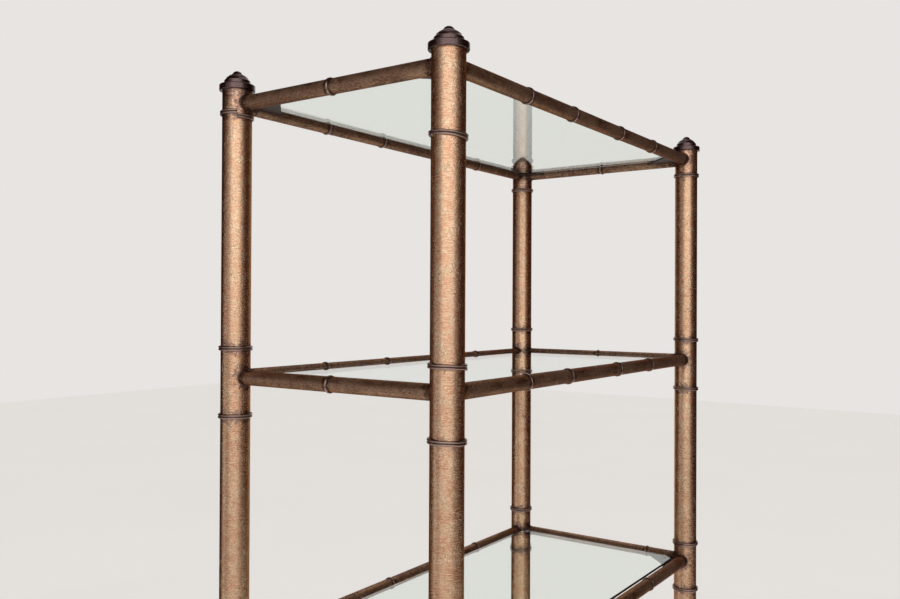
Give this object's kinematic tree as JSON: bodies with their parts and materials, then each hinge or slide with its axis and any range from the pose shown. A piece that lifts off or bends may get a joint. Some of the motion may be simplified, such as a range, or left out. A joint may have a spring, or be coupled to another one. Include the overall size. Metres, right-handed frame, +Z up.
{
  "type": "etagere",
  "caption": "Tall open etagere: round tube posts with turned finials, welded tube rails with ring collars, and loose clear glass shelves with cut corners on corner plates.",
  "frame": {"origin": "on the floor, under the middle of the four posts", "axes": "+Z up, +X to the right along the long side, and the front faces -Y"},
  "size_m": [0.9134, 0.4474, 1.8573],
  "materials": {
    "gilded_steel_post": "gold and copper leaf rubbed over brown, satin",
    "gilded_steel_rail": "dark brown with a golden sheen, satin",
    "blackened_bronze": "blackened, satin",
    "dark_bronze": "dark brown patina, satin",
    "painted_plate": "dark brown, satin",
    "clear_glass": "clear float glass with ground edges",
    "clear_vinyl": "clear soft vinyl",
    "nylon": "moulded nylon, matt"
  },
  "bodies": {
    "frame": {"post_front_left": "gilded_steel_post", "finial_front_left": "blackened_bronze", "foot_glide_front_left": "nylon", "post_collars_front_left": "dark_bronze", "post_front_right": "gilded_steel_post", "finial_front_right": "blackened_bronze", "foot_glide_front_right": "nylon", "post_collars_front_right": "dark_bronze", "post_back_left": "gilded_steel_post", "finial_back_left": "blackened_bronze", "foot_glide_back_left": "nylon", "post_collars_back_left": "dark_bronze", "post_back_right": "gilded_steel_post", "finial_back_right": "blackened_bronze", "foot_glide_back_right": "nylon", "post_collars_back_right": "dark_bronze", "rail_front_tier_1": "gilded_steel_rail", "rail_back_tier_1": "gilded_steel_rail", "rail_left_tier_1": "gilded_steel_rail", "rail_right_tier_1": "gilded_steel_rail", "rail_collars_tier_1": "dark_bronze", "corner_plates_tier_1": "painted_plate", "glass_bumpers_tier_1": "clear_vinyl", "rail_front_tier_2": "gilded_steel_rail", "rail_back_tier_2": "gilded_steel_rail", "rail_left_tier_2": "gilded_steel_rail", "rail_right_tier_2": "gilded_steel_rail", "rail_collars_tier_2": "dark_bronze", "corner_plates_tier_2": "painted_plate", "glass_bumpers_tier_2": "clear_vinyl", "rail_front_tier_3": "gilded_steel_rail", "rail_back_tier_3": "gilded_steel_rail", "rail_left_tier_3": "gilded_steel_rail", "rail_right_tier_3": "gilded_steel_rail", "rail_collars_tier_3": "dark_bronze", "corner_plates_tier_3": "painted_plate", "glass_bumpers_tier_3": "clear_vinyl", "rail_front_tier_4": "gilded_steel_rail", "rail_back_tier_4": "gilded_steel_rail", "rail_left_tier_4": "gilded_steel_rail", "rail_right_tier_4": "gilded_steel_rail", "rail_collars_tier_4": "dark_bronze", "corner_plates_tier_4": "painted_plate", "glass_bumpers_tier_4": "clear_vinyl", "rail_front_tier_5": "gilded_steel_rail", "rail_back_tier_5": "gilded_steel_rail", "rail_left_tier_5": "gilded_steel_rail", "rail_right_tier_5": "gilded_steel_rail", "rail_collars_tier_5": "dark_bronze", "corner_plates_tier_5": "painted_plate", "glass_bumpers_tier_5": "clear_vinyl"},
    "shelf_1": {"glass_shelf_tier_1": "clear_glass"},
    "shelf_2": {"glass_shelf_tier_2": "clear_glass"},
    "shelf_3": {"glass_shelf_tier_3": "clear_glass"},
    "shelf_4": {"glass_shelf_tier_4": "clear_glass"},
    "shelf_5": {"glass_shelf_tier_5": "clear_glass"}
  },
  "joints": [
    {"name": "shelf_1_lift", "type": "slide", "parent": "frame", "child": "shelf_1", "axis": [0, 0, 1], "range_m": [0, 0.39]},
    {"name": "shelf_2_lift", "type": "slide", "parent": "frame", "child": "shelf_2", "axis": [0, 0, 1], "range_m": [0, 0.39]},
    {"name": "shelf_3_lift", "type": "slide", "parent": "frame", "child": "shelf_3", "axis": [0, 0, 1], "range_m": [0, 0.39]},
    {"name": "shelf_4_lift", "type": "slide", "parent": "frame", "child": "shelf_4", "axis": [0, 0, 1], "range_m": [0, 0.39]},
    {"name": "shelf_5_lift", "type": "slide", "parent": "frame", "child": "shelf_5", "axis": [0, 0, 1], "range_m": [0, 0.1]}
  ]
}
